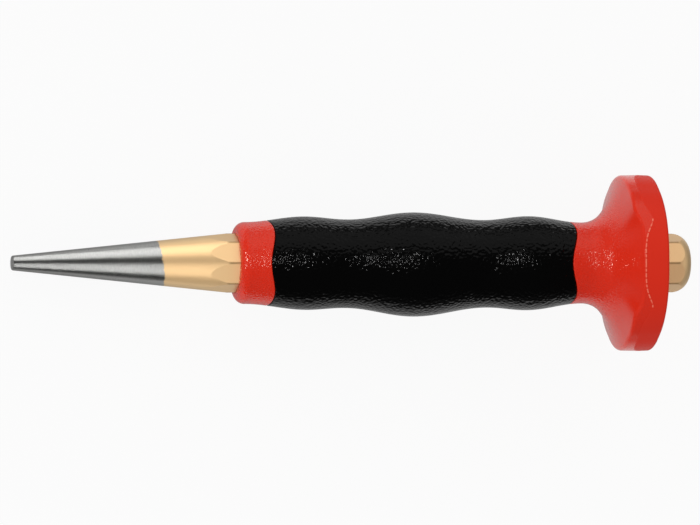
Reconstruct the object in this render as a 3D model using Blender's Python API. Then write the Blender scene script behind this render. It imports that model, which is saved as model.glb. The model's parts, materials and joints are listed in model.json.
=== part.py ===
"""Taper punch: an octagonal steel bar with a conical point, in a moulded handle with a hand guard.

Every piece is drawn along the tool's own axis, with the tip at 0 and the head towards +X. Angles go round
that axis from the top of the tool. The finished tool lies on its collar and on one flat of its guard, with
the middle of its footprint at the origin.
"""
import math

import bmesh
import bpy
from mathutils import Vector

MM = 0.001

# Sides of every ring: octagon and hexagon corners both fall on its points
SIDES = 48
EDGE_STEPS = 3
ROUND_STEPS = 5
GRIP_RINGS = 26

# Clearance between pieces that touch
FIT = 0.3 * MM

# Steel bar: flat tip, cone, octagonal shank and rounded striking head
TIP_DIAMETER = 3.8 * MM
TIP_EDGE = 0.5 * MM
BAR_ACROSS_FLATS = 14.0 * MM
TAPER_LENGTH = 50.5 * MM
SHANK_LENGTH = 1.6 * MM
HEAD_LENGTH = 9.6 * MM
HEAD_ROUND = 4.5 * MM

# Red core: walls over the corners of the bore
COLLAR_WALL = 2.55 * MM
LINER_WALL = 1.3 * MM
NECK_WALL = 2.5 * MM
LIP_FACE = 0.15 * MM
COLLAR_LENGTH = 8.4 * MM
NECK_SHOWN = 3.35 * MM

# Swells and waists of the handle: length from the one before, and thickness of the grip there
FRONT_SWELL_LENGTH = 16.0 * MM
FRONT_SWELL_WALL = 2.43 * MM
FRONT_WAIST_LENGTH = 10.5 * MM
FRONT_WAIST_WALL = 1.82 * MM
MAIN_SWELL_LENGTH = 17.7 * MM
MAIN_SWELL_WALL = 3.83 * MM
REAR_WAIST_LENGTH = 18.8 * MM
REAR_WAIST_WALL = 1.72 * MM
REAR_SWELL_LENGTH = 11.0 * MM
REAR_SWELL_WALL = 2.56 * MM
NECK_LENGTH = 14.35 * MM

# Waves of the two seams between grip and core: four lobes round the tool and two lobes
FRONT_WAVE_FOUR = 0.50 * MM
FRONT_WAVE_TWO = 0.39 * MM
REAR_WAVE_FOUR = 0.53 * MM
REAR_WAVE_TWO = 0.72 * MM

# Hand guard: a nearly round flange, with six soft flats that are bent at a crease
GUARD_ACROSS_FLATS = 43.3 * MM
GUARD_SETBACK = 11.75 * MM
GUARD_CORNER = 16.7 * MM
GUARD_EDGE = 0.8 * MM
FRONT_FACET_LENGTH = 1.75 * MM
REAR_FACET_LENGTH = 6.3 * MM
REAR_FACET_DRAFT = math.radians(2.0)
CREASE_RISE = 2.0 * MM
FACE_WIDTH = 2.77 * MM
FACE_LEAN = math.radians(15.0)

# Bar, worked out
TIP_RADIUS = TIP_DIAMETER / 2
BAR_APOTHEM = BAR_ACROSS_FLATS / 2
BAR_CORNER = BAR_APOTHEM / math.cos(math.pi / 8)
TAPER_SLOPE = (BAR_APOTHEM - TIP_RADIUS) / TAPER_LENGTH
TAPER_END = (BAR_CORNER - TIP_RADIUS) / TAPER_SLOPE

# Handle, worked out: stations along the axis from the tip, and radii
BORE_APOTHEM = BAR_APOTHEM + FIT
BORE_CORNER = BORE_APOTHEM / math.cos(math.pi / 8)
COLLAR_RADIUS = BORE_CORNER + COLLAR_WALL
LINER_RADIUS = BORE_CORNER + LINER_WALL
NECK_RADIUS = BORE_CORNER + NECK_WALL
GRIP_BORE = LINER_RADIUS + FIT
LIP_ROUND = COLLAR_WALL - LIP_FACE
COLLAR_START = TAPER_END + SHANK_LENGTH
LIP_END = COLLAR_START + LIP_ROUND
FRONT_SWELL = LIP_END + FRONT_SWELL_LENGTH
FRONT_WAIST = FRONT_SWELL + FRONT_WAIST_LENGTH
MAIN_SWELL = FRONT_WAIST + MAIN_SWELL_LENGTH
REAR_WAIST = MAIN_SWELL + REAR_WAIST_LENGTH
REAR_SWELL = REAR_WAIST + REAR_SWELL_LENGTH
NECK = REAR_SWELL + NECK_LENGTH
PROFILE = [
    (LIP_END, COLLAR_RADIUS),
    (FRONT_SWELL, GRIP_BORE + FRONT_SWELL_WALL),
    (FRONT_WAIST, GRIP_BORE + FRONT_WAIST_WALL),
    (MAIN_SWELL, GRIP_BORE + MAIN_SWELL_WALL),
    (REAR_WAIST, GRIP_BORE + REAR_WAIST_WALL),
    (REAR_SWELL, GRIP_BORE + REAR_SWELL_WALL),
    (NECK, NECK_RADIUS),
]


def profile(station):
    """Radius of the handle between collar and neck: easy waves through its swells and waists."""
    for (start, low), (end, high) in zip(PROFILE, PROFILE[1:]):
        if station <= end:
            return low + (high - low) * (1 - math.cos(math.pi * (station - start) / (end - start))) / 2
    return NECK_RADIUS


def front_seam(angle):
    """Where the front collar's wavy shoulder lies."""
    wave = FRONT_WAVE_FOUR * math.cos(4 * angle) + FRONT_WAVE_TWO * math.cos(2 * angle)
    return COLLAR_START + COLLAR_LENGTH - wave


def rear_seam(angle):
    """Where the neck's wavy shoulder lies."""
    wave = REAR_WAVE_FOUR * math.cos(4 * angle) + REAR_WAVE_TWO * math.cos(2 * angle)
    return NECK - NECK_SHOWN - wave


def grip_station(angle, share):
    """Station on the grip at a share of the way from its front end to its rear end."""
    front = front_seam(angle) + FIT
    rear = rear_seam(angle) - FIT
    return front + (rear - front) * share


def lying_slope():
    """Slope of the line under the tool from the guard's crease that just touches the collar or the grip."""
    stations = [LIP_END] + [grip_station(math.pi, i / GRIP_RINGS) for i in range(GRIP_RINGS + 1)]
    return min((GUARD_APOTHEM - profile(x)) / (CREASE - x) for x in stations)


# Guard and head, worked out: the tool lies on a front facet, so the facets share that slope
GUARD_APOTHEM = GUARD_ACROSS_FLATS / 2
CREASE = NECK + GUARD_SETBACK
LYING_SLOPE = lying_slope()
FRONT_EDGE = CREASE - FRONT_FACET_LENGTH - GUARD_EDGE
FRONT_APOTHEM = GUARD_APOTHEM - LYING_SLOPE * FRONT_FACET_LENGTH - GUARD_EDGE
GUARD_REAR = CREASE + REAR_FACET_LENGTH
BAR_LENGTH = GUARD_REAR + HEAD_LENGTH


def clear_scene():
    """Remove every object that is already there."""
    for item in list(bpy.data.objects):
        bpy.data.objects.remove(item, do_unlink=True)


def linear(hex_colour):
    """Linear red, green and blue of an sRGB colour such as 'CD2314'."""
    channels = [int(hex_colour[i:i + 2], 16) / 255 for i in (0, 2, 4)]
    return [c / 12.92 if c <= 0.04045 else ((c + 0.055) / 1.055) ** 2.4 for c in channels]


def make_material(name, hex_colour, roughness, metallic):
    """A plain Principled material."""
    material = bpy.data.materials.new(name)
    material.use_nodes = True
    shader = material.node_tree.nodes["Principled BSDF"]
    shader.inputs["Base Color"].default_value = (*linear(hex_colour), 1.0)
    shader.inputs["Roughness"].default_value = roughness
    shader.inputs["Metallic"].default_value = metallic
    return material


def sweep(start, end, steps):
    """Evenly spaced angles in radians, both ends included, from two angles in degrees."""
    return [math.radians(start + (end - start) * i / steps) for i in range(steps + 1)]


def octagon(angle, apothem):
    """Radius of an octagon with a corner at the top."""
    side = math.pi / 4
    return apothem / math.cos(angle % side - side / 2)


def off_flat(angle):
    """How far an angle lies from the middle of the nearest guard facet: 0 there, 1 at a corner."""
    side = math.pi / 3
    return abs((angle + side / 2) % side - side / 2) / (side / 2)


def hexagon(angle, apothem):
    """Radius of a hexagon with a flat at the top and corners so round that it is nearly a circle."""
    half_side = math.pi / 6
    off = off_flat(angle) * half_side
    if apothem * math.tan(off) <= (apothem - GUARD_CORNER) * math.tan(half_side):
        return apothem / math.cos(off)
    centre = (apothem - GUARD_CORNER) / math.cos(half_side)
    lean = half_side - off
    return centre * math.cos(lean) + math.sqrt(GUARD_CORNER ** 2 - (centre * math.sin(lean)) ** 2)


def add_ring(mesh, station, radius):
    """One ring of points; station takes the angle, radius takes the angle and the station found."""
    points = []
    for i in range(SIDES):
        angle = 2 * math.pi * i / SIDES
        x = station(angle)
        r = radius(angle, x)
        points.append(mesh.verts.new((x, r * math.sin(angle), r * math.cos(angle))))
    return points


def add_circle(mesh, station, radius):
    """One plain round ring."""
    return add_ring(mesh, lambda angle: station, lambda angle, x: radius)


def join_rings(mesh, rings):
    """Quads between each ring and the next."""
    for near, far in zip(rings, rings[1:]):
        for i in range(SIDES):
            j = (i + 1) % SIDES
            mesh.faces.new((near[i], near[j], far[j], far[i]))


def finish(name, mesh, material, parent):
    """Turn a bmesh into a named, smooth shaded object under the lying tool."""
    bmesh.ops.recalc_face_normals(mesh, faces=mesh.faces)
    data = bpy.data.meshes.new(name)
    mesh.to_mesh(data)
    mesh.free()
    data.materials.append(material)
    data.shade_smooth()
    data.set_sharp_from_angle(angle=math.radians(25))
    piece = bpy.data.objects.new(name, data)
    bpy.context.collection.objects.link(piece)
    piece.parent = parent
    return piece


def build_bar(parent):
    """Steel bar: the cone cuts the eight flats in arcs, and so does the rounded head."""
    mesh = bmesh.new()
    rings = []
    for turn in sweep(0, 90, EDGE_STEPS):
        radius = TIP_RADIUS - TIP_EDGE * (1 - math.sin(turn))
        rings.append(add_circle(mesh, TIP_EDGE * (1 - math.cos(turn)), radius))

    def flats(angle, station):
        return octagon(angle, BAR_APOTHEM)

    def taper_end(angle):
        return (octagon(angle, BAR_APOTHEM) - TIP_RADIUS) / TAPER_SLOPE

    head_start = BAR_LENGTH - HEAD_ROUND

    def head_edge(angle):
        drop = BAR_CORNER - octagon(angle, BAR_APOTHEM)
        return head_start + math.sqrt(HEAD_ROUND ** 2 - (HEAD_ROUND - drop) ** 2)

    rings.append(add_ring(mesh, taper_end, flats))
    rings.append(add_ring(mesh, head_edge, flats))
    clear_of_flats = math.degrees(math.acos(1 - (BAR_CORNER - BAR_APOTHEM) / HEAD_ROUND))
    for turn in sweep(clear_of_flats, 90, ROUND_STEPS)[1:]:
        radius = BAR_CORNER - HEAD_ROUND * (1 - math.cos(turn))
        rings.append(add_circle(mesh, head_start + HEAD_ROUND * math.sin(turn), radius))
    join_rings(mesh, rings)
    mesh.faces.new(rings[0])
    mesh.faces.new(rings[-1])
    return finish("punch_bar", mesh, make_material("gold lacquered steel", "E4BE87", 0.35, 0.8), parent)


def core_front(mesh):
    """Rings of the collar, from its mouth over the round lip to the front seam, and of the liner."""
    rings = []
    for turn in sweep(0, 90, ROUND_STEPS):
        radius = COLLAR_RADIUS - LIP_ROUND * (1 - math.sin(turn))
        rings.append(add_circle(mesh, COLLAR_START + LIP_ROUND * (1 - math.cos(turn)), radius))
    rings.append(add_ring(mesh, lambda angle: (LIP_END + front_seam(angle)) / 2, lambda angle, x: profile(x)))
    rings.append(add_ring(mesh, front_seam, lambda angle, x: profile(x)))
    rings.append(add_ring(mesh, front_seam, lambda angle, x: LINER_RADIUS))
    rings.append(add_ring(mesh, rear_seam, lambda angle, x: LINER_RADIUS))
    return rings


def core_neck(mesh):
    """Rings of the neck behind the rear seam and of its flare out to the guard's front face."""
    rings = [add_ring(mesh, rear_seam, lambda angle, x: profile(x))]
    rings.append(add_ring(mesh, lambda angle: (rear_seam(angle) + NECK) / 2, lambda angle, x: profile(x)))
    end_turn = math.pi / 2 - FACE_LEAN
    reach = FRONT_EDGE - FACE_WIDTH * math.tan(FACE_LEAN) - NECK
    rise = FRONT_APOTHEM - FACE_WIDTH - NECK_RADIUS
    for turn in sweep(0, math.degrees(end_turn), ROUND_STEPS):
        station = NECK + reach * math.sin(turn) / math.sin(end_turn)
        radius = NECK_RADIUS + rise * (1 - math.cos(turn)) / (1 - math.cos(end_turn))
        rings.append(add_circle(mesh, station, radius))
    return rings


def core_guard(mesh):
    """Rings of the guard, from the edge of its front face to the edge of its rear face."""
    rings = []

    def front_edge(angle):
        return FRONT_EDGE + (hexagon(angle, FRONT_APOTHEM) - FRONT_APOTHEM) * math.tan(FACE_LEAN)

    for turn in sweep(0, 90, EDGE_STEPS)[:-1]:
        apothem = FRONT_APOTHEM + GUARD_EDGE * math.sin(turn)
        step = GUARD_EDGE * (1 - math.cos(turn))
        rings.append(add_ring(mesh, lambda angle: front_edge(angle) + step,
                              lambda angle, x: hexagon(angle, apothem)))
    rings.append(add_ring(mesh, lambda angle: front_edge(angle) + GUARD_EDGE,
                          lambda angle, x: hexagon(angle, GUARD_APOTHEM + LYING_SLOPE * (x - CREASE))))

    def crease(angle):
        return CREASE + CREASE_RISE * max(0.0, (4 * off_flat(angle) - 1) / 3) ** 2

    def rear_apothem(station):
        return GUARD_APOTHEM - math.tan(REAR_FACET_DRAFT) * (station - CREASE)

    rings.append(add_ring(mesh, crease, lambda angle, x: hexagon(angle, rear_apothem(x))))
    edge_start = GUARD_REAR - GUARD_EDGE
    for turn in sweep(0, 90, EDGE_STEPS):
        apothem = rear_apothem(edge_start) - GUARD_EDGE * (1 - math.cos(turn))
        station = edge_start + GUARD_EDGE * math.sin(turn)
        rings.append(add_ring(mesh, lambda angle: station, lambda angle, x: hexagon(angle, apothem)))
    return rings


def build_core(parent):
    """Red core: collar, liner, neck and guard round an octagonal bore."""
    mesh = bmesh.new()

    def bore(angle, station):
        return octagon(angle, BORE_APOTHEM)

    mouth = add_ring(mesh, lambda angle: COLLAR_START, bore)
    outside = core_front(mesh) + core_neck(mesh) + core_guard(mesh)
    back = add_ring(mesh, lambda angle: GUARD_REAR, bore)
    join_rings(mesh, [mouth] + outside + [back, mouth])
    return finish("handle_core", mesh, make_material("red plastic", "CD2314", 0.45, 0.0), parent)


def build_grip(parent):
    """Black grip: a sleeve over the liner that follows both wavy seams."""
    mesh = bmesh.new()

    rings = []
    for i in range(GRIP_RINGS + 1):
        share = i / GRIP_RINGS
        rings.append(add_ring(mesh, lambda angle: grip_station(angle, share), lambda angle, x: profile(x)))
    rings.append(add_ring(mesh, lambda angle: grip_station(angle, 1), lambda angle, x: GRIP_BORE))
    rings.append(add_ring(mesh, lambda angle: grip_station(angle, 0), lambda angle, x: GRIP_BORE))
    join_rings(mesh, rings + rings[:1])
    return finish("grip_sleeve", mesh, make_material("black soft grip", "1C1C1D", 0.6, 0.0), parent)


def lay_down(tool, pieces):
    """Tip the tool until a front facet of the guard is level, then bring its footprint to the origin."""
    tool.rotation_euler = (0.0, -math.atan(LYING_SLOPE), 0.0)
    turned = tool.rotation_euler.to_matrix()
    points = [turned @ point.co for piece in pieces for point in piece.data.vertices]
    low = Vector([min(point[i] for point in points) for i in range(3)])
    high = Vector([max(point[i] for point in points) for i in range(3)])
    tool.location = (-(low.x + high.x) / 2, -(low.y + high.y) / 2, -low.z)


def main():
    clear_scene()
    tool = bpy.data.objects.new("lying_tool", None)
    bpy.context.collection.objects.link(tool)
    pieces = [build_bar(tool), build_core(tool), build_grip(tool)]
    lay_down(tool, pieces)


main()
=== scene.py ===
import json
from math import atan2, cos, hypot, pi, radians, sin, sqrt, tan

import bpy
from mathutils import Matrix, Vector


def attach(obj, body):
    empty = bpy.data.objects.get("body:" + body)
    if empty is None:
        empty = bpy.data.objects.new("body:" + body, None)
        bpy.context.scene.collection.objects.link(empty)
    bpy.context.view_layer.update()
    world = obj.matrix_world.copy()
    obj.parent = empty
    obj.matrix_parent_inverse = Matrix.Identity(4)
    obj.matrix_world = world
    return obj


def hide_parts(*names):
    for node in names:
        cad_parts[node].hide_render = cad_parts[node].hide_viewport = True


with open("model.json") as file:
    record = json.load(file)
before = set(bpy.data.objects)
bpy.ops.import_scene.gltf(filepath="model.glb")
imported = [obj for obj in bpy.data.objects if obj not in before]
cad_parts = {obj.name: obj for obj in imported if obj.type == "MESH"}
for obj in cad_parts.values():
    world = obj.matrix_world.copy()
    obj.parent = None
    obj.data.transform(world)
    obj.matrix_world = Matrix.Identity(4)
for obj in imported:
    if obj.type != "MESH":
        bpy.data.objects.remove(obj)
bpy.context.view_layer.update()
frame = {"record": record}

bl_info = {
    "name": "Taper punch",
    "version": (1, 0, 0),
    "blender": (4, 5, 0),
    "location": "View3D > Sidebar > Punch",
    "description": "Models a taper punch with a moulded hand guard grip, piece by piece",
    "category": "Add Mesh",
}

MM = 0.001
MERGE = 0.002 * MM  # vertices closer than this become one
COLUMNS = 384  # round each moulding, so that octagon and hexagon corners both fall on one
HEAD_EXCESS = 0.5  # mm that the struck end reaches past the CAD's
BORE_MOUTH = 0.3 * MM  # rounding of the bore's two ends

# The tool lies tilted on its collar and guard. Its own frame has X along the bar from the tip, Y across
# it and Z up through the near side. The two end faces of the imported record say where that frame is.
MOUNTS = {mount["name"]: mount for mount in frame["record"]["mounts"]}
TIP = Vector(MOUNTS["tip_face"]["pos_m"])
ALONG = Vector(MOUNTS["striking_face"]["axis"]).normalized()
ACROSS = Vector((0.0, 1.0, 0.0))
UPWARD = ALONG.cross(ACROSS)
BAR_LENGTH = (Vector(MOUNTS["striking_face"]["pos_m"]) - TIP).dot(ALONG)
TOOL = Matrix.Translation(TIP) @ Matrix((ALONG, ACROSS, UPWARD)).transposed().to_4x4()


def linear(code):
    """The linear colour of an sRGB hex code such as "D02919"."""
    parts = [int(code[i : i + 2], 16) / 255 for i in (0, 2, 4)]
    return tuple(c / 12.92 if c <= 0.04045 else ((c + 0.055) / 1.055) ** 2.4 for c in parts)


def length(name, description, mm):
    """A size property that is shown as a length, with its default in millimetres."""
    return bpy.props.FloatProperty(
        name=name,
        description=description,
        default=mm * MM,
        min=0.0,
        precision=5,
        subtype="DISTANCE",
        unit="LENGTH",
    )


def colour(name, description, code):
    """A colour property with its default as an sRGB hex code."""
    return bpy.props.FloatVectorProperty(
        name=name,
        description=description,
        default=linear(code),
        size=3,
        min=0.0,
        max=1.0,
        subtype="COLOR",
    )


class PunchSizes(bpy.types.PropertyGroup):
    """The sizes of the punch that a user would change."""

    tip_diameter: length("Tip diameter", "Across the point's end, at its flat face", 3.8)
    tip_edge: length("Tip edge", "Rounding of the tip's rim", 0.5)
    across_flats: length("Across flats", "Of the octagonal bar", 14.0)
    turned_diameter: length("Across corners", "Of the bar, whose corners are turned off a little", 15.07)
    taper_length: length("Taper length", "From the tip to where the flats start", 50.5)
    bare_length: length("Bare length", "Of the point that is ground free of lacquer", 38.2)
    head_round: length("Head round", "Rounding of the struck end", 4.5)
    head_end: length("Bar length", "From the tip to the struck end", BAR_LENGTH / MM + HEAD_EXCESS)
    collar_start: length("Collar start", "From the tip to the front of the moulding", 57.81)
    lip_round: length("Lip round", "Rounding of the collar's front lip", 2.4)
    collar_length: length("Collar length", "From the collar's front to the grip", 8.4)
    neck_shown: length("Neck shown", "Red neck between the grip and the start of the flare", 3.35)
    neck_place: length("Neck place", "From the tip to the narrowest place before the guard", 148.56)
    flare_round: length("Flare round", "Radius of the sweep from the neck to the guard", 7.2)
    guard_flats: length("Guard across flats", "Of the nearly round hand guard at its crease", 44.4)
    guard_front: length("Guard front", "From the tip to the front of the guard's rim", 158.05)
    guard_crease: length("Guard crease", "From the tip to the parting line round the guard", 160.3)
    guard_rear: length("Guard rear", "From the tip to the rear face of the guard", 166.6)
    guard_edge: length("Guard edge", "Rounding of the guard's rear rim", 0.8)
    bore_gap: length("Bore gap", "Between the bar's flats and the moulding", 0.08)
    liner_radius: length("Liner radius", "Of the moulding under the grip", 9.3)
    seam_gap: length("Seam gap", "Between the grip's ends and the moulding's shoulders", 0.12)


class PunchFinish(bpy.types.PropertyGroup):
    """The colours of the punch that a user would change."""

    steel: colour("Steel", "Of the ground point", "B0B0AE")
    steel_dark: colour("Steel marks", "Of the darker grinding marks", "888886")
    lacquer: colour("Lacquer", "Of the bar's gold coat", "FBD29A")
    # Painted shade: the coat's darker colour on facets that turn away from the eye.
    lacquer_painted_shade: colour("Lacquer at a slant", "Of the coat, looked through at a slant", "D8B88A")
    # Brown lines drawn along the bar's corners.
    lacquer_corner_line: colour("Lacquer edge", "Where the coat pools along the corners", "7B5A2B")
    red: colour("Red", "Of the moulded core and guard", "D82A16")
    # Painted highlight: a lighter red drawn on the crease's bead, where a lamp's highlight runs.
    parting_line_highlight: colour("Parting line", "Of the rubbed bead along the guard's crease", "F0705A")
    black: colour("Black", "Of the soft grip", "050505")
    floor: colour("Floor", "Of the plain floor", "E8E8E8")


def deselect():
    """Leaves object mode with nothing selected, so that the next operator acts on its own piece."""
    if bpy.context.object and bpy.context.object.mode != "OBJECT":
        bpy.ops.object.mode_set(mode="OBJECT")
    bpy.ops.object.select_all(action="DESELECT")


def knots(sizes):
    """Places along the tool and radii, in metres, that the outline of collar, grip and neck swells and
    waists through."""
    steps_mm = (0.0, 16.0, 10.5, 17.7, 18.8, 11.0, 14.35)
    radii_mm = (10.452, 11.93, 11.32, 13.33, 11.22, 12.06, 10.40)
    place = sizes.collar_start + sizes.lip_round
    points = []
    for step, radius in zip(steps_mm, radii_mm):
        place += step * MM
        points.append((place, radius * MM))
    return points


def outline(points, s):
    """Radius of the hand-shaped outline at s, easing from knot to knot."""
    if s <= points[0][0]:
        return points[0][1]
    for (s0, r0), (s1, r1) in zip(points, points[1:]):
        if s <= s1:
            return r0 + (r1 - r0) * (1 - cos(pi * (s - s0) / (s1 - s0))) / 2
    return points[-1][1]


def seam_wave(angle, four_crests, two_crests):
    """How far a wavy seam runs forward at an angle, from the heights of its two waves in millimetres."""
    return (four_crests * cos(4 * angle) + two_crests * cos(2 * angle)) * MM


def front_seam(sizes, angle):
    """Place of the wavy line between collar and grip."""
    return sizes.collar_start + sizes.collar_length - seam_wave(angle, 0.50, 0.39)


def rear_seam(sizes, angle):
    """Place of the wavy line between grip and neck."""
    return sizes.neck_place - sizes.neck_shown - seam_wave(angle, 0.53, 0.72)


def off_flat(angle, sides, first):
    """Angle to the middle of the nearest flat of a regular polygon that has a flat at the angle first."""
    step = 2 * pi / sides
    return abs((angle - first + step / 2) % step - step / 2)


def rolled_net(name, rows):
    """Rolls a flat grid round the bar's axis. Each row is a list of points round the tool, and the last
    row meets the first, so the net closes into a tube with a wall."""
    deselect()
    bpy.ops.mesh.primitive_grid_add(x_subdivisions=COLUMNS, y_subdivisions=len(rows), size=1.0)
    piece = bpy.context.object
    piece.name = name
    piece.data.name = name
    for vertex in piece.data.vertices:
        row = round((vertex.co.y + 0.5) * len(rows)) % len(rows)
        column = round((vertex.co.x + 0.5) * COLUMNS) % COLUMNS
        vertex.co = rows[row][column]
    bpy.ops.object.mode_set(mode="EDIT")
    bpy.ops.mesh.select_all(action="SELECT")
    bpy.ops.mesh.remove_doubles(threshold=MERGE)
    bpy.ops.mesh.normals_make_consistent(inside=False)
    bpy.ops.object.mode_set(mode="OBJECT")
    return piece


def ring(place, sag=None):
    """One row of a rolled net. place gives the distance s along the tool and the radius r at an angle,
    and sag, where there is one, moves the row across the tool."""
    points = []
    for column in range(COLUMNS):
        angle = 2 * pi * column / COLUMNS
        s, r = place(angle)
        aside = sag(s) if sag else 0.0
        points.append(Vector((s, r * sin(angle) + aside, r * cos(angle))))
    return points


def finish(piece, material, node, sharp):
    """Lays the piece into its place, shades it smooth up to the angle sharp in degrees, and hands it to
    the frame."""
    deselect()
    piece.select_set(True)
    bpy.context.view_layer.objects.active = piece
    piece.matrix_world = TOOL
    bpy.ops.object.transform_apply(location=True, rotation=True, scale=True)
    bpy.ops.object.shade_smooth_by_angle(angle=radians(sharp))
    piece.data.materials.clear()
    piece.data.materials.append(material)
    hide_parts(node)
    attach(piece, "root")


def add(tree, kind, sockets=None, **settings):
    """Adds a node with its settings. A socket, by name or number, takes a constant or an output."""
    node = tree.nodes.new(kind)
    for key, value in settings.items():
        setattr(node, key, value)
    for key, value in (sockets or {}).items():
        if isinstance(value, bpy.types.NodeSocket):
            tree.links.new(value, node.inputs[key])
        else:
            node.inputs[key].default_value = value
    return node


def new_material(name):
    """An empty material, its node tree, and places on the piece in millimetres of the tool's frame."""
    material = bpy.data.materials.new(name)
    material.use_nodes = True
    tree = material.node_tree
    tree.nodes.clear()
    where = add(tree, "ShaderNodeTexCoord")
    along = add(
        tree,
        "ShaderNodeMapping",
        {
            "Vector": where.outputs["Object"],
            "Location": TIP,
            "Rotation": TOOL.to_euler(),
            "Scale": (MM, MM, MM),
        },
        vector_type="TEXTURE",
    )
    return material, tree, along.outputs["Vector"]


def close_material(tree, sockets):
    """Ends a material in one Principled shader."""
    shader = add(tree, "ShaderNodeBsdfPrincipled", sockets)
    add(tree, "ShaderNodeOutputMaterial", {"Surface": shader.outputs["BSDF"]})


def opaque(rgb):
    """A colour property as a socket takes it."""
    return (*rgb, 1.0)


def bar_finish(finish_colours, sizes):
    """Ground tool steel under a satin gold lacquer. The point shows cross marks of the wheel, which
    scatter light along the bar and leave crisp bands round it. The coat is smooth, with soft bands,
    brown corner lines, and painted shade that darkens the facets turned away from the eye."""
    material, tree, mm = new_material("ground_steel_with_gold_lacquer")
    parts = add(tree, "ShaderNodeSeparateXYZ", {"Vector": mm})
    # The coat's edge was ground by hand, so it leans and wavers. Sizes here are in millimetres.
    edge_lean = 0.16  # for each one across the bar
    edge_waver = 1.6
    edge_wave_length = 3.0
    edge_blur = 0.15
    bare_end = sizes.bare_length / MM + edge_waver / 2
    waver = add(
        tree,
        "ShaderNodeTexNoise",
        {"Vector": mm, "Scale": 1 / edge_wave_length, "Detail": 4.0, "Roughness": 0.6},
    )
    lean = add(
        tree,
        "ShaderNodeMath",
        {0: parts.outputs["Y"], 1: edge_lean, 2: parts.outputs["X"]},
        operation="MULTIPLY_ADD",
    )
    edge = add(
        tree,
        "ShaderNodeMath",
        {0: waver.outputs["Fac"], 1: edge_waver, 2: lean.outputs["Value"]},
        operation="MULTIPLY_ADD",
    )
    coated = add(
        tree,
        "ShaderNodeMapRange",
        {
            "Value": edge.outputs["Value"],
            "From Min": bare_end - edge_blur,
            "From Max": bare_end + edge_blur,
        },
    )
    # The wheel's marks run round the point. Their sizes are in millimetres too.
    mark_width = 0.3
    mark_length = 1.2
    stretched = add(
        tree,
        "ShaderNodeMapping",
        {"Vector": mm, "Scale": (1 / mark_width, 1 / mark_length, 1 / mark_length)},
    )
    marks = add(
        tree,
        "ShaderNodeTexNoise",
        {"Vector": stretched.outputs["Vector"], "Scale": 1.0, "Detail": 3.0, "Roughness": 0.65},
    )
    steel = add(
        tree,
        "ShaderNodeMix",
        {
            "Factor": marks.outputs["Fac"],
            6: opaque(finish_colours.steel_dark),
            7: opaque(finish_colours.steel),
        },
        data_type="RGBA",
    )
    # Past the taper only the bar's corners lie this far from the axis, and the coat is drawn brown in
    # thin lines on them.
    corner = sizes.turned_diameter / MM / 2
    line_start = corner - 0.11
    line_full = corner - 0.03
    line_share = 0.55
    squared = add(
        tree,
        "ShaderNodeMath",
        {0: parts.outputs["Y"], 1: parts.outputs["Y"]},
        operation="MULTIPLY",
    )
    radius_squared = add(
        tree,
        "ShaderNodeMath",
        {0: parts.outputs["Z"], 1: parts.outputs["Z"], 2: squared.outputs["Value"]},
        operation="MULTIPLY_ADD",
    )
    at_corner = add(
        tree,
        "ShaderNodeMapRange",
        {
            "Value": radius_squared.outputs["Value"],
            "From Min": line_start**2,
            "From Max": line_full**2,
            "To Max": line_share,
        },
    )
    # Painted shade: on facets that turn away from the eye, the coat's colour is drawn deeper and darker.
    slant = add(tree, "ShaderNodeLayerWeight", {"Blend": 0.5})
    through = add(
        tree,
        "ShaderNodeMapRange",
        {"Value": slant.outputs["Facing"], "From Min": 0.2, "From Max": 0.55},
    )
    coat_with_painted_shade = add(
        tree,
        "ShaderNodeMix",
        {
            "Factor": through.outputs["Result"],
            6: opaque(finish_colours.lacquer),
            7: opaque(finish_colours.lacquer_painted_shade),
        },
        data_type="RGBA",
    )
    coat = add(
        tree,
        "ShaderNodeMix",
        {
            "Factor": at_corner.outputs["Result"],
            6: coat_with_painted_shade.outputs[2],
            7: opaque(finish_colours.lacquer_corner_line),
        },
        data_type="RGBA",
    )
    surface = add(
        tree,
        "ShaderNodeMix",
        {"Factor": coated.outputs["Result"], 6: steel.outputs[2], 7: coat.outputs[2]},
        data_type="RGBA",
    )
    coat_metallic = 0.62
    coat_roughness = 0.41
    mark_depth = 0.02 * MM
    metal = add(
        tree,
        "ShaderNodeMapRange",
        {"Value": coated.outputs["Result"], "To Min": 1.0, "To Max": coat_metallic},
    )
    ground = add(
        tree,
        "ShaderNodeMapRange",
        {"Value": marks.outputs["Fac"], "To Min": 0.22, "To Max": 0.42},
    )
    rough = add(
        tree,
        "ShaderNodeMix",
        {"Factor": coated.outputs["Result"], 2: ground.outputs["Result"], 3: coat_roughness},
        data_type="FLOAT",
    )
    depth = add(
        tree,
        "ShaderNodeMapRange",
        {"Value": coated.outputs["Result"], "To Min": 0.6, "To Max": 0.03},
    )
    bump = add(
        tree,
        "ShaderNodeBump",
        {"Height": marks.outputs["Fac"], "Strength": depth.outputs["Result"], "Distance": mark_depth},
    )
    close_material(
        tree,
        {
            "Base Color": surface.outputs[2],
            "Metallic": metal.outputs["Result"],
            "Roughness": rough.outputs[0],
            "Normal": bump.outputs["Normal"],
        },
    )
    return material


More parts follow.
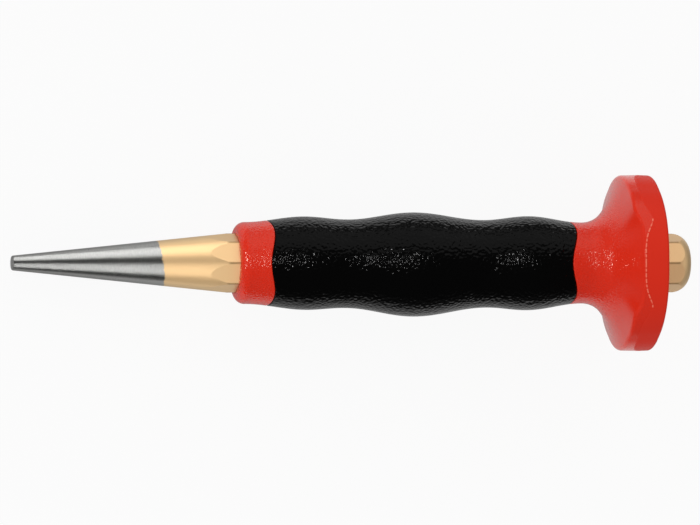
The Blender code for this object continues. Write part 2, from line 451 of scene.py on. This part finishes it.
def red_finish(red, name, roughness, grain_height, gloss):
    """Hard red polypropylene from a spark-eroded mould. Its fine grain breaks highlights into specks and
    fades on the guard. The front half of the mould left it half glossy, and the rear half, behind the
    guard's crease, duller. The grain's height is in millimetres."""
    material, tree, mm = new_material(name)
    parts = add(tree, "ShaderNodeSeparateXYZ", {"Vector": mm})
    # The grain's width and the places along the tool that it fades between, in millimetres.
    grain_width = 0.45
    fade_start = 154.5
    fade_end = 157.5
    faded = 0.25
    grain = add(tree, "ShaderNodeTexNoise", {"Vector": mm, "Scale": 1 / grain_width, "Detail": 0.0})
    depth = add(
        tree,
        "ShaderNodeMapRange",
        {
            "Value": parts.outputs["X"],
            "From Min": fade_start,
            "From Max": fade_end,
            "To Min": 1.0,
            "To Max": faded,
        },
    )
    bump = add(
        tree,
        "ShaderNodeBump",
        {
            "Height": grain.outputs["Fac"],
            "Strength": depth.outputs["Result"],
            "Distance": grain_height * MM,
        },
    )
    spread = 0.04
    rough = add(
        tree,
        "ShaderNodeMapRange",
        {"Value": grain.outputs["Fac"], "To Min": roughness - spread, "To Max": roughness + spread},
    )
    # Flow of the melt leaves the colour very slightly uneven over 14 mm or so.
    flow_width = 14.0
    flow_depth = 0.95
    flow = add(tree, "ShaderNodeTexNoise", {"Vector": mm, "Scale": 1 / flow_width, "Detail": 1.0})
    deep = tuple(c * flow_depth for c in red)
    tint = add(
        tree,
        "ShaderNodeMix",
        {"Factor": flow.outputs["Fac"], 6: opaque(deep), 7: opaque(red)},
        data_type="RGBA",
    )
    close_material(
        tree,
        {
            "Base Color": tint.outputs[2],
            "Roughness": rough.outputs["Result"],
            "IOR": 1.49,
            "Specular IOR Level": gloss,
            "Specular Tint": (1.0, 0.95, 0.82, 1.0),
            "Normal": bump.outputs["Normal"],
        },
    )
    return material


def black_finish(finish_colours):
    """Soft black thermoplastic rubber from a spark-eroded mould. It gives back nearly no diffuse light,
    and its coarse grain sparkles where a lamp is mirrored."""
    material, tree, mm = new_material("grained_black_rubber")
    grain_width = 0.75
    grain_height = 0.2
    grain = add(tree, "ShaderNodeTexNoise", {"Vector": mm, "Scale": 1 / grain_width, "Detail": 0.0})
    bump = add(
        tree,
        "ShaderNodeBump",
        {"Height": grain.outputs["Fac"], "Strength": 1.0, "Distance": grain_height * MM},
    )
    rough = add(
        tree,
        "ShaderNodeMapRange",
        {"Value": grain.outputs["Fac"], "To Min": 0.12, "To Max": 0.18},
    )
    close_material(
        tree,
        {
            "Base Color": opaque(finish_colours.black),
            "Roughness": rough.outputs["Result"],
            "IOR": 1.5,
            "Specular IOR Level": 0.13,
            "Normal": bump.outputs["Normal"],
        },
    )
    return material


class PUNCH_OT_bar(bpy.types.Operator):
    """Turns the steel bar from its outline and cuts the eight flats on it"""

    bl_idname = "punch.bar"
    bl_label = "Make punch bar"

    def execute(self, context):
        sizes = context.scene.punch_sizes
        flat = sizes.across_flats / 2
        corner = sizes.turned_diameter / 2
        tip = sizes.tip_diameter / 2
        slope = (flat - tip) / (sizes.taper_length - sizes.tip_edge)
        lean = atan2(slope, 1.0)
        points = [(0.0, 0.0), (0.0, (tip - sizes.tip_edge) * 0.6), (0.0, tip - sizes.tip_edge)]
        steps = 24
        for i in range(1, steps + 1):
            turn = (pi / 2 - lean) * i / steps
            s = sizes.tip_edge * (1 - cos(turn))
            points.append((s, tip - sizes.tip_edge + sizes.tip_edge * sin(turn)))
        s0, r0 = points[-1]
        taper_end = s0 + (corner - r0) / slope
        for i in range(1, 13):
            points.append((s0 + (taper_end - s0) * i / 12, r0 + (corner - r0) * i / 12))
        end = sizes.head_end
        head = end - sizes.head_round
        for i in range(1, 9):
            points.append((taper_end + (head - taper_end) * i / 8, corner))
        for i in range(1, steps + 1):
            turn = pi / 2 * i / steps
            s = head + sizes.head_round * sin(turn)
            points.append((s, corner - sizes.head_round * (1 - cos(turn))))
        points.append((end, (corner - sizes.head_round) * 0.5))
        points.append((end, 0.0))

        deselect()
        bpy.ops.mesh.primitive_plane_add(size=MM)
        piece = context.object
        piece.name = "punch_bar_ground"
        bpy.ops.object.mode_set(mode="EDIT")
        bpy.ops.mesh.select_all(action="SELECT")
        bpy.ops.mesh.merge(type="CENTER")
        here = points[0]
        for there in points[1:]:
            move = (there[0] - here[0], 0.0, there[1] - here[1])
            bpy.ops.mesh.extrude_vertices_move(TRANSFORM_OT_translate={"value": move})
            here = there
        bpy.ops.mesh.select_all(action="SELECT")
        bpy.ops.mesh.spin(steps=256, angle=2 * pi, center=(0, 0, 0), axis=(1, 0, 0))
        bpy.ops.mesh.select_all(action="SELECT")
        bpy.ops.mesh.remove_doubles(threshold=MERGE)
        bpy.ops.mesh.normals_make_consistent(inside=False)
        for i in range(8):
            facing = radians(22.5 + 45 * i)
            normal = (0.0, sin(facing), cos(facing))
            bpy.ops.mesh.select_all(action="SELECT")
            bpy.ops.mesh.bisect(
                plane_co=[flat * c for c in normal],
                plane_no=normal,
                use_fill=True,
                clear_outer=True,
                threshold=1e-7,
            )
        bpy.ops.mesh.select_all(action="SELECT")
        bpy.ops.mesh.normals_make_consistent(inside=False)
        bpy.ops.object.mode_set(mode="OBJECT")
        finish(piece, bar_finish(context.scene.punch_finish, sizes), "punch_bar", sharp=4.5)
        return {"FINISHED"}


def bore(sizes, angle):
    """Radius of the octagonal bore, which clears the bar's flats and its turned corners."""
    corner_gap = 0.09 * MM
    near = off_flat(angle, 8, radians(22.5))
    flat = (sizes.across_flats / 2 + sizes.bore_gap) / cos(near)
    return min(flat, sizes.turned_diameter / 2 + corner_gap)


def guard_side(apothem, angle):
    """Radius of the guard. It is a hexagon with its corners rounded by most of its apothem, so that only
    six soft flats are left of it."""
    corner_share = 0.88
    near = off_flat(angle, 6, 0.0)
    centre = (1 - corner_share) / cos(pi / 6)
    if tan(near) < (1 - corner_share) * tan(pi / 6):
        return apothem / cos(near)
    turn = pi / 6 - near
    return apothem * (centre * cos(turn) + sqrt(corner_share**2 - (centre * sin(turn)) ** 2))


def crease_place(sizes, angle):
    """Place of the parting line round the guard. It runs back towards the corners, and a little more
    towards +Y and -Y."""
    corner_rise = 2.2 * MM
    side_rise = 0.6 * MM
    to_corner = off_flat(angle, 6, 0.0) / (pi / 6)
    risen = 6 * to_corner**5 - 5 * to_corner**6
    return sizes.guard_crease + corner_rise * risen + side_rise * sin(angle) ** 2


def near_or_far(angle):
    """1 on the near and far sides of the tool, easing to 0 towards +Y and -Y."""
    full_half = radians(8)
    fade = radians(34)
    t = min(1.0, max(0.0, (off_flat(angle, 2, 0.0) - full_half) / fade))
    return 1 - t * t * (3 - 2 * t)


def handle_rows(sizes):
    """Rows of the moulding from the bore's front mouth over lip and collar, along the liner under the
    grip, to the end of the neck."""
    points = knots(sizes)
    start = sizes.collar_start
    lip = sizes.lip_round
    lip_end = points[0][0]
    lip_inner = points[0][1] - lip
    neck = points[-1][0]
    edge = 0.25 * MM
    rows = []
    # The rounded mouth of the bore, then the full round of the lip.
    for i in range(5):
        turn = pi / 2 * i / 4
        s = start + BORE_MOUTH * (1 - sin(turn))
        rows.append(ring(lambda a: (s, bore(sizes, a) + BORE_MOUTH * (1 - cos(turn)))))
    for i in range(25):
        turn = pi / 2 * i / 24
        rows.append(ring(lambda a: (lip_end - lip * cos(turn), lip_inner + lip * sin(turn))))
    for i in range(1, 17):
        t = i / 16

        def collar(a):
            s = lip_end + (front_seam(sizes, a) - edge - lip_end) * t
            return s, outline(points, s)

        rows.append(ring(collar))
    for i in range(1, 7):
        turn = pi / 2 * i / 6

        def collar_edge(a):
            s = front_seam(sizes, a) - edge
            return s + edge * sin(turn), outline(points, s) - edge * (1 - cos(turn))

        rows.append(ring(collar_edge))
    # Down the shoulder, along the liner under the grip, and up the rear shoulder.
    for i in range(9):
        t = i / 8

        def liner(a):
            first = front_seam(sizes, a)
            return first + (rear_seam(sizes, a) - first) * t, sizes.liner_radius

        rows.append(ring(liner))
    for i in range(7):
        turn = pi / 2 * i / 6

        def neck_edge(a):
            s = rear_seam(sizes, a)
            return s + edge * (1 - cos(turn)), outline(points, s + edge) - edge * (1 - sin(turn))

        rows.append(ring(neck_edge))
    for i in range(1, 13):
        t = i / 12

        def neck_side(a):
            first = rear_seam(sizes, a) + edge
            s = first + (neck - first) * t
            return s, outline(points, s)

        rows.append(ring(neck_side))
    return rows


def guard_rows(sizes):
    """Rows of the flare and the guard, from the neck over the rim and the crease to the rear face."""
    neck, neck_radius = knots(sizes)[-1]
    half = sizes.guard_flats / 2
    rim = sizes.guard_edge
    crease_edge = 0.35 * MM
    bead_height = 0.1 * MM
    rim_round = 1.15 * MM
    rim_arc = 0.7  # share of the rim's rows that lie on its arc
    sweep = radians(50)
    lean = radians(16)
    land_lean = radians(1)
    rear_draft = tan(radians(2))
    flare_s = neck + sizes.flare_round * sin(sweep)
    flare_r = neck_radius + sizes.flare_round * (1 - cos(sweep))
    rows = []

    def rim_place(a, t):
        # The rim is an arc from the front face to a land, which rises gently to the crease.
        end_s = crease_place(sizes, a) - crease_edge
        end_r = guard_side(half, a)
        centre_s = sizes.guard_front + rim_round * cos(lean)
        centre_r = end_r - (end_s - centre_s) * tan(land_lean) - rim_round / cos(land_lean)
        turn = lean + (pi / 2 - land_lean - lean) * min(1.0, t / rim_arc)
        s = centre_s - rim_round * cos(turn)
        r = centre_r + rim_round * sin(turn)
        onward = max(0.0, (t - rim_arc) / (1 - rim_arc))
        return s + (end_s - s) * onward, r + (end_r - r) * onward

    def front_row(place):
        # On the near and far sides the front face runs straight on from the flare to the crease.
        def leaned(a):
            s, r = place(a)
            end_s = crease_place(sizes, a) - crease_edge
            risen = (r - flare_r) / (guard_side(half, a) - flare_r)
            straight = flare_s + (end_s - flare_s) * risen
            return s + (straight - s) * near_or_far(a), r

        rows.append(ring(leaned))

    # The flare sweeps out, then bends on into a steep front face.
    for i in range(1, 21):
        turn = sweep * i / 20
        s = neck + sizes.flare_round * sin(turn)
        r = neck_radius + sizes.flare_round * (1 - cos(turn))
        rows.append(ring(lambda a: (s, r)))
    for i in range(1, 17):
        t = i / 17

        def front_face(a):
            # A curve that is tangent to the flare where it starts and to the rim where it ends.
            end_s, end_r = rim_place(a, 0.0)
            reach = hypot(end_s - flare_s, end_r - flare_r)
            from_flare = 0.35 * reach
            from_rim = 0.45 * reach
            one_s = flare_s + from_flare * cos(sweep)
            one_r = flare_r + from_flare * sin(sweep)
            two_s = end_s - from_rim * sin(lean)
            two_r = end_r - from_rim * cos(lean)
            u = 1 - t
            return (
                u**3 * flare_s + 3 * u * u * t * one_s + 3 * u * t * t * two_s + t**3 * end_s,
                u**3 * flare_r + 3 * u * u * t * one_r + 3 * u * t * t * two_r + t**3 * end_r,
            )

        front_row(front_face)
    for i in range(25):
        t = i / 24
        front_row(lambda a: rim_place(a, t))
    # Where the two halves of the mould met, a fine bead runs along the crease.
    for i in range(1, 8):
        t = i / 8

        def bead(a):
            height = bead_height * near_or_far(a) * sin(pi * t) ** 2
            return crease_place(sizes, a) + crease_edge * (2 * t - 1), guard_side(half, a) + height

        rows.append(ring(bead))
    rear = sizes.guard_rear - rim
    for i in range(9):
        t = i / 8

        def rear_flat(a):
            first = crease_place(sizes, a) + crease_edge
            s = first + (rear - first) * t
            return s, guard_side(half - rear_draft * (s - first), a)

        rows.append(ring(rear_flat))
    for i in range(1, 13):
        turn = pi / 2 * i / 12

        def rear_rim(a):
            apothem = half - rear_draft * (rear - crease_place(sizes, a) - crease_edge)
            return rear + rim * sin(turn), guard_side(apothem - rim * (1 - cos(turn)), a)

        rows.append(ring(rear_rim))
    rear_apothem = half - rear_draft * (rear - sizes.guard_crease) - rim
    for i in range(1, 9):
        t = i / 8

        def rear_face(a):
            outer = guard_side(rear_apothem, a)
            return sizes.guard_rear, outer + (bore(sizes, a) + BORE_MOUTH - outer) * t

        rows.append(ring(rear_face))
    return rows


def bore_rows(sizes):
    """Rows of the bore from its rounded rear mouth back to the front one."""
    rows = []
    for i in range(1, 5):
        turn = pi / 2 * i / 4
        s = sizes.guard_rear - BORE_MOUTH * (1 - cos(turn))
        rows.append(ring(lambda a: (s, bore(sizes, a) + BORE_MOUTH * (1 - sin(turn)))))
    bore_end = sizes.guard_rear - BORE_MOUTH
    bore_start = sizes.collar_start + BORE_MOUTH
    for i in range(1, 12):
        s = bore_end + (bore_start - bore_end) * (i / 12)
        rows.append(ring(lambda a: (s, bore(sizes, a))))
    return rows


def paint_guard(piece, sizes):
    """Gives the guard's faces behind the crease the second finish, and most faces on the crease's bead,
    in an uneven order, the third: a lighter red that paints the bead's highlight."""
    bead_half = 0.18 * MM
    bead_shows = 0.3
    outer_radius = 8.5 * MM
    to_tool = TOOL.inverted()
    for face in piece.data.polygons:
        place = to_tool @ face.center
        angle = atan2(place.y, place.z)
        past = place.x - crease_place(sizes, angle)
        outer = hypot(place.y, place.z) > outer_radius
        on_bead = outer and abs(past) < bead_half and near_or_far(angle) > bead_shows
        column = round(angle / (2 * pi) * COLUMNS)
        if on_bead and (7 * column**2) % 11 > 2:
            face.material_index = 2
        elif outer and past > 0:
            face.material_index = 1


class PUNCH_OT_core(bpy.types.Operator):
    """Rolls the red moulding: collar, liner, neck, flare and nearly round guard on an octagonal bore"""

    bl_idname = "punch.core"
    bl_label = "Make handle core"

    def execute(self, context):
        sizes = context.scene.punch_sizes
        colours = context.scene.punch_finish
        rows = handle_rows(sizes) + guard_rows(sizes) + bore_rows(sizes)
        piece = rolled_net("handle_core_moulded", rows)
        front = red_finish(colours.red, "grained_red_polypropylene", 0.2, 0.14, 0.45)
        rear = red_finish(colours.red, "matt_red_polypropylene", 0.5, 0.06, 0.15)
        # The third finish paints the bead's highlight in a lighter red.
        highlighted = red_finish(colours.parting_line_highlight, "red_polypropylene_painted_highlight", 0.4, 0.3, 0.45)
        finish(piece, front, "handle_core", sharp=28)
        piece.data.materials.append(rear)
        piece.data.materials.append(highlighted)
        paint_guard(piece, sizes)
        return {"FINISHED"}


class PUNCH_OT_grip(bpy.types.Operator):
    """Rolls the black sleeve between the moulding's two wavy shoulders"""

    bl_idname = "punch.grip"
    bl_label = "Make grip sleeve"

    def execute(self, context):
        sizes = context.scene.punch_sizes
        points = knots(sizes)
        edge = 0.3 * MM
        gap = sizes.seam_gap
        liner_gap = 0.05 * MM
        inner = sizes.liner_radius + liner_gap
        belly_shift = 0.38 * MM
        belly_margin = 2 * MM
        middle_start = sizes.collar_start + sizes.collar_length
        middle_end = sizes.neck_place - sizes.neck_shown

        def sag(s):
            # The sleeve's belly sits a little to one side, fading out at both ends.
            belly_length = middle_end - middle_start - 2 * belly_margin
            t = min(1.0, max(0.0, (s - middle_start - belly_margin) / belly_length))
            return -belly_shift * sin(pi * t) ** 2

        rows = []
        for i in range(7):
            turn = pi / 2 * i / 6

            def front_edge(a):
                s = front_seam(sizes, a) + gap
                return s + edge * (1 - cos(turn)), outline(points, s + edge) - edge * (1 - sin(turn))

            rows.append(ring(front_edge, sag))
        steps = 130
        for i in range(1, steps):
            t = i / steps

            def side(a):
                first = front_seam(sizes, a) + gap + edge
                last = rear_seam(sizes, a) - gap - edge
                s = first + (last - first) * t
                return s, outline(points, s)

            rows.append(ring(side, sag))
        for i in range(7):
            turn = pi / 2 * i / 6

            def rear_edge(a):
                s = rear_seam(sizes, a) - gap
                return s - edge + edge * sin(turn), outline(points, s - edge) - edge * (1 - cos(turn))

            rows.append(ring(rear_edge, sag))
        for i in range(9):
            t = i / 8

            def inside(a):
                first = front_seam(sizes, a) + gap
                last = rear_seam(sizes, a) - gap
                return last + (first - last) * t, inner

            rows.append(ring(inside))

        piece = rolled_net("grip_sleeve_moulded", rows)
        finish(piece, black_finish(context.scene.punch_finish), "grip_sleeve", sharp=25)
        return {"FINISHED"}


def softbox(name, aim, side, lean, across, width, height, distance, radiance):
    """A rectangular lamp that looks at the point aim, with its width along across. In degrees, side turns
    it from over the near side of the tool towards +Y, and lean from square on towards the tip."""
    side = radians(side)
    lean = radians(lean)
    toward = (UPWARD * cos(side) + ACROSS * sin(side)) * cos(lean) - ALONG * sin(lean)
    lamp = bpy.data.lights.new(name, "AREA")
    lamp.shape = "RECTANGLE"
    lamp.size = width
    lamp.size_y = height
    lamp.energy = radiance * pi * width * height
    holder = bpy.data.objects.new(name, lamp)
    bpy.context.collection.objects.link(holder)
    back = toward.normalized()
    right = (across - back * across.dot(back)).normalized()
    turned = Matrix((right, back.cross(right), back)).transposed().to_4x4()
    holder.matrix_world = Matrix.Translation(aim + back * distance) @ turned
    holder.visible_camera = False
    return holder


def board_finish(finish_colours):
    """Matt white board. Seen straight, it is near white with a faint shadow. Mirrored in gloss it glows
    instead, less towards -Y, under the tool and far off. To all other light it is plain board."""
    material = bpy.data.materials.new("matt_white_board")
    material.use_nodes = True
    tree = material.node_tree
    tree.nodes.clear()
    seen_share = 0.92
    path = add(tree, "ShaderNodeLightPath")
    place = add(tree, "ShaderNodeTexCoord")
    across = add(tree, "ShaderNodeSeparateXYZ", {"Vector": place.outputs["Object"]})
    mirrored = add(
        tree,
        "ShaderNodeMapRange",
        {
            "Value": across.outputs["Y"],
            "From Min": -60 * MM,
            "From Max": 0.0,
            "To Min": 0.8,
            "To Max": 1.05,
        },
    )
    aside = add(tree, "ShaderNodeMath", {0: across.outputs["Y"]}, operation="ABSOLUTE")
    shaded = add(
        tree,
        "ShaderNodeMapRange",
        {
            "Value": aside.outputs["Value"],
            "From Min": 10 * MM,
            "From Max": 35 * MM,
            "To Min": 0.4,
            "To Max": 1.0,
        },
    )
    close_by = add(
        tree,
        "ShaderNodeMapRange",
        {
            "Value": path.outputs["Ray Length"],
            "From Min": 50 * MM,
            "From Max": 80 * MM,
            "To Min": 1.0,
            "To Max": 0.12,
        },
    )
    nearby = add(
        tree,
        "ShaderNodeMath",
        {0: mirrored.outputs["Result"], 1: close_by.outputs["Result"]},
        operation="MULTIPLY",
    )
    under = add(
        tree,
        "ShaderNodeMath",
        {0: nearby.outputs["Value"], 1: shaded.outputs["Result"]},
        operation="MULTIPLY",
    )
    dimmed = add(tree, "ShaderNodeMath", {0: under.outputs["Value"], 1: 1.0}, operation="SUBTRACT")
    level = add(
        tree,
        "ShaderNodeMath",
        {0: path.outputs["Is Glossy Ray"], 1: dimmed.outputs["Value"], 2: 1.0},
        operation="MULTIPLY_ADD",
    )
    board = add(tree, "ShaderNodeBsdfDiffuse", {"Color": opaque(finish_colours.floor)})
    glow = add(tree, "ShaderNodeEmission", {"Strength": level.outputs["Value"]})
    share = add(
        tree,
        "ShaderNodeMath",
        {0: path.outputs["Is Camera Ray"], 1: seen_share, 2: path.outputs["Is Glossy Ray"]},
        operation="MULTIPLY_ADD",
    )
    both = add(
        tree,
        "ShaderNodeMixShader",
        {0: share.outputs["Value"], 1: board.outputs["BSDF"], 2: glow.outputs["Emission"]},
    )
    add(tree, "ShaderNodeOutputMaterial", {"Surface": both.outputs["Shader"]})
    return material


def set_camera(scene):
    """Sets a camera that looks at the near side, a little from the tip's end, and gives the point that it
    looks at, at about the middle of the tool."""
    tilt = radians(12.0)
    middle_mm = 87.83
    aside_mm = 0.13
    distance = 2.5
    view_width = 0.17885
    sensor_mm = 36.0
    right = ALONG * cos(tilt) + UPWARD * sin(tilt)
    back = UPWARD * cos(tilt) - ALONG * sin(tilt)
    aim = TIP + ALONG * middle_mm * MM + ACROSS * aside_mm * MM
    lens = bpy.data.cameras.new("photo_camera")
    lens.sensor_width = sensor_mm
    lens.lens = sensor_mm * distance / view_width
    lens.clip_end = 20.0
    camera = bpy.data.objects.new("photo_camera", lens)
    bpy.context.collection.objects.link(camera)
    camera.matrix_world = (
        Matrix.Translation(aim + back * distance)
        @ Matrix((right, ACROSS, back)).transposed().to_4x4()
    )
    scene.camera = camera
    return aim


def set_lamps(aim):
    """Sets the studio lamps round the point aim."""
    softbox("upper_softbox", aim, 65, -10, ALONG, 1.25, 0.95, 0.85, 0.62)
    # Two strips are flagged off everything but the metal, where they draw its bright bands.
    metal = bpy.data.collections.new("strip_lit_metal")
    metal.objects.link(bpy.data.objects["punch_bar_ground"])
    metal_lamps = [
        softbox("upper_strip", aim, 62, 4, ALONG, 0.06, 0.9, 0.85, 8.0),
        softbox("lower_strip", aim, -34, 4, ALONG, 0.06, 0.9, 0.85, 9.0),
    ]
    # Four boxes off both ends keep the metal bright when it is looked at from elsewhere.
    for side in (50, -50):
        for lean, radiance in ((58, 1.0), (-58, 0.3)):
            metal_lamps.append(softbox("end_box", aim, side, lean, ACROSS, 0.9, 0.7, 0.9, radiance))
    for lamp in metal_lamps:
        lamp.light_linking.receiver_collection = metal
    # Two small lamps make the grained plastics sparkle, one over the grip and one before the flare.
    plastic = bpy.data.collections.new("speck_lit_plastic")
    plastic.objects.link(bpy.data.objects["handle_core_moulded"])
    plastic.objects.link(bpy.data.objects["grip_sleeve_moulded"])
    plastic_lamps = [
        softbox("over_lamp", aim, 10, 3, ACROSS, 0.05, 0.05, 1.0, 150.0),
        softbox("front_lamp", aim, 11, 61, ACROSS, 0.04, 0.04, 1.0, 440.0),
    ]
    for lamp in plastic_lamps:
        lamp.light_linking.receiver_collection = plastic
    # Two broad fills lift the shades and show in no gloss.
    fills = [
        softbox("front_fill", aim, 30, 62, ACROSS, 1.4, 1.0, 1.1, 0.42),
        softbox("lower_fill", aim, -70, 0, ALONG, 1.4, 0.9, 0.9, 0.45),
    ]
    for lamp in fills:
        lamp.visible_glossy = False


def set_surround(scene):
    """Sets a surround that is white to the eye, a soft ambient light for the object, and a dark studio in
    its gloss."""
    world = scene.world or bpy.data.worlds.new("studio_surround")
    scene.world = world
    world.use_nodes = True
    sky = world.node_tree
    sky.nodes.clear()
    ambient = 0.57
    mirrored_level = 0.03
    ray = add(sky, "ShaderNodeLightPath")
    lit = add(
        sky,
        "ShaderNodeMath",
        {0: ray.outputs["Is Camera Ray"], 1: 1.0 - ambient, 2: ambient},
        operation="MULTIPLY_ADD",
    )
    level = add(
        sky,
        "ShaderNodeMath",
        {0: ray.outputs["Is Glossy Ray"], 1: mirrored_level - ambient, 2: lit.outputs["Value"]},
        operation="MULTIPLY_ADD",
    )
    glow = add(
        sky,
        "ShaderNodeBackground",
        {"Color": (1.0, 1.0, 1.0, 1.0), "Strength": level.outputs["Value"]},
    )
    add(sky, "ShaderNodeOutputWorld", {"Surface": glow.outputs["Background"]})


class PUNCH_OT_stage(bpy.types.Operator):
    """Lays the pale floor and sets the studio lamps, the surround and the camera"""

    bl_idname = "punch.stage"
    bl_label = "Set stage"

    def execute(self, context):
        scene = context.scene
        # The guard is drawn a little wider than the CAD's, so the floor is laid lower to meet it.
        floor_drop = 0.66 * MM
        deselect()
        bpy.ops.mesh.primitive_plane_add(size=6.0, location=(0.0, 0.0, -floor_drop))
        floor = context.object
        floor.name = "pale_floor"
        floor.data.materials.append(board_finish(scene.punch_finish))
        aim = set_camera(scene)
        set_lamps(aim)
        set_surround(scene)
        scene.view_settings.view_transform = "Standard"
        return {"FINISHED"}


class PUNCH_PT_panel(bpy.types.Panel):
    """Lists the punch's pieces, sizes and colours"""

    bl_idname = "PUNCH_PT_panel"
    bl_label = "Taper punch"
    bl_space_type = "VIEW_3D"
    bl_region_type = "UI"
    bl_category = "Punch"

    def draw(self, context):
        layout = self.layout
        for operator in (PUNCH_OT_bar, PUNCH_OT_core, PUNCH_OT_grip, PUNCH_OT_stage):
            layout.operator(operator.bl_idname)
        for group in (context.scene.punch_sizes, context.scene.punch_finish):
            box = layout.box()
            for key in group.__annotations__:
                box.prop(group, key)


CLASSES = (
    PunchSizes,
    PunchFinish,
    PUNCH_OT_bar,
    PUNCH_OT_core,
    PUNCH_OT_grip,
    PUNCH_OT_stage,
    PUNCH_PT_panel,
)


def register():
    for kind in CLASSES:
        bpy.utils.register_class(kind)
    bpy.types.Scene.punch_sizes = bpy.props.PointerProperty(type=PunchSizes)
    bpy.types.Scene.punch_finish = bpy.props.PointerProperty(type=PunchFinish)


def unregister():
    del bpy.types.Scene.punch_finish
    del bpy.types.Scene.punch_sizes
    for kind in reversed(CLASSES):
        bpy.utils.unregister_class(kind)


def main():
    register()
    bpy.ops.punch.bar()
    bpy.ops.punch.core()
    bpy.ops.punch.grip()
    bpy.ops.punch.stage()


if __name__ == "__main__":
    main()
